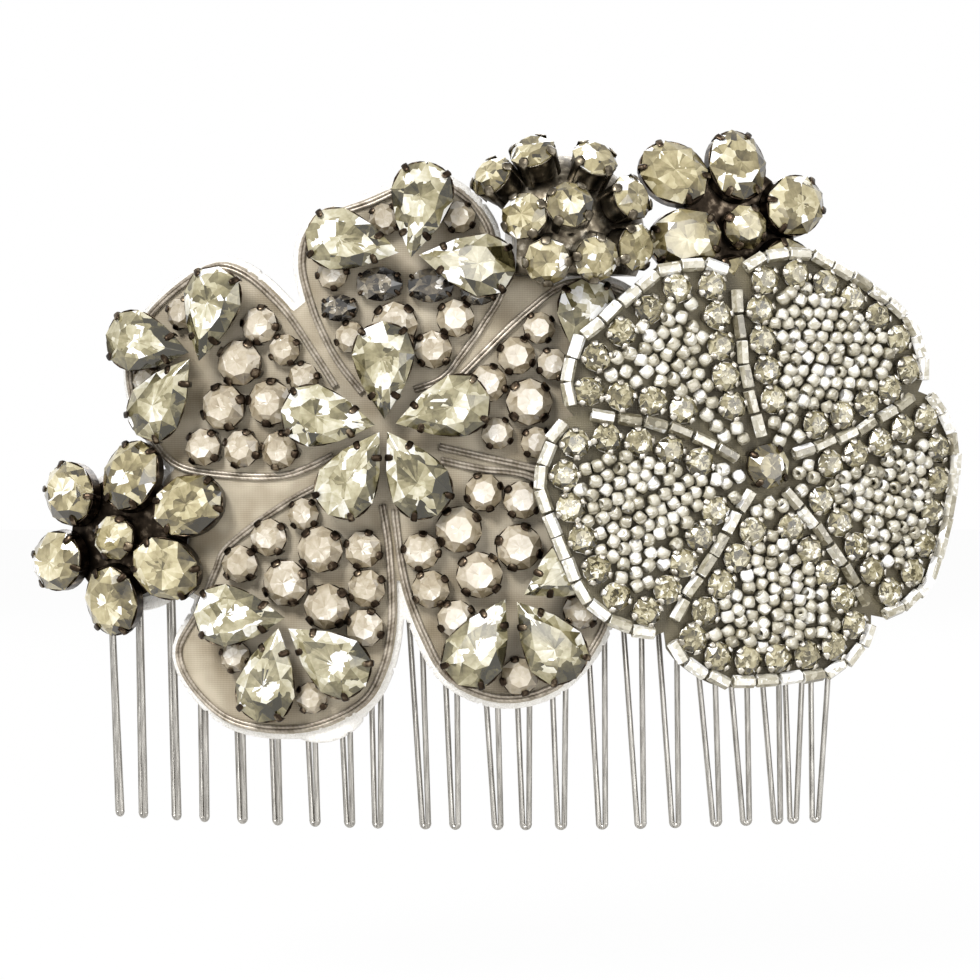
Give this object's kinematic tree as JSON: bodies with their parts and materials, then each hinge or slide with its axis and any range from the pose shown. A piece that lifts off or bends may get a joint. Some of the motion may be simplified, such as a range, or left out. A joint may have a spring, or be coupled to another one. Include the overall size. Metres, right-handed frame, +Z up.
{
  "type": "decorative hair comb",
  "caption": "Curved wire hair comb dressed with a large satin flower set with crystal stones, an overlapping beaded flower, posies of oval stones and a cluster of round stones.",
  "frame": {"origin": "middle of the comb's spine rod, where the teeth leave it", "axes": "+Z up, away from the tooth tips; +X along the comb to the viewer's right; -Y the way the stones face"},
  "size_m": [0.1145, 0.0259, 0.0845],
  "materials": {
    "steel_wire": "drawn wire, softly polished",
    "sewing_thread": "matt twisted thread",
    "white_felt": "matt felt",
    "taupe_satin": "satin weave with a soft sheen",
    "ground_cloth": "fine net over cloth",
    "silver_braid": "metallised thread, ribbed",
    "champagne_crystal": "foil backed, polished facets",
    "ivory_crystal": "foil backed, polished facets",
    "smoke_crystal": "foil backed, dark, polished facets",
    "oxidised_metal": "dark plated",
    "bead_glass": "clear with a silver lined bore"
  },
  "bodies": {
    "root": {"comb_spine": "steel_wire", "comb_teeth": "steel_wire", "sewing_loops": "sewing_thread", "felt_backing": "white_felt", "satin_ground": "taupe_satin", "upper_left_cord": "silver_braid", "top_cord": "silver_braid", "right_cord": "silver_braid", "lower_right_cord": "silver_braid", "lower_left_cord": "silver_braid", "upper_left_round_stones": "ivory_crystal", "upper_left_round_cups": "oxidised_metal", "upper_left_pear_stones": "champagne_crystal", "upper_left_pear_cups": "oxidised_metal", "top_round_stones": "ivory_crystal", "top_round_cups": "oxidised_metal", "top_pear_stones": "champagne_crystal", "top_pear_cups": "oxidised_metal", "right_round_stones": "ivory_crystal", "right_round_cups": "oxidised_metal", "right_pear_stones": "champagne_crystal", "right_pear_cups": "oxidised_metal", "lower_right_round_stones": "ivory_crystal", "lower_right_round_cups": "oxidised_metal", "lower_right_pear_stones": "champagne_crystal", "lower_right_pear_cups": "oxidised_metal", "lower_left_round_stones": "ivory_crystal", "lower_left_round_cups": "oxidised_metal", "lower_left_pear_stones": "champagne_crystal", "lower_left_pear_cups": "oxidised_metal", "centre_pear_stones": "champagne_crystal", "centre_pear_cups": "oxidised_metal", "dark_stones": "smoke_crystal", "dark_stone_cups": "oxidised_metal", "beaded_pad": "white_felt", "beaded_cloth": "ground_cloth", "edge_bugles": "bead_glass", "divider_bugles": "bead_glass", "chain_stones": "champagne_crystal", "chain_cups": "oxidised_metal", "seed_beads": "bead_glass", "beaded_centre_stone": "champagne_crystal", "beaded_centre_cup": "oxidised_metal", "left_posy_plate": "oxidised_metal", "left_posy_ovals": "champagne_crystal", "left_posy_oval_cups": "oxidised_metal", "left_posy_centre": "champagne_crystal", "left_posy_centre_cup": "oxidised_metal", "right_posy_plate": "oxidised_metal", "right_posy_ovals": "champagne_crystal", "right_posy_oval_cups": "oxidised_metal", "right_posy_centre": "champagne_crystal", "right_posy_centre_cup": "oxidised_metal", "cluster_plate": "oxidised_metal", "cluster_stones": "ivory_crystal", "cluster_cups": "oxidised_metal"}
  },
  "joints": []
}
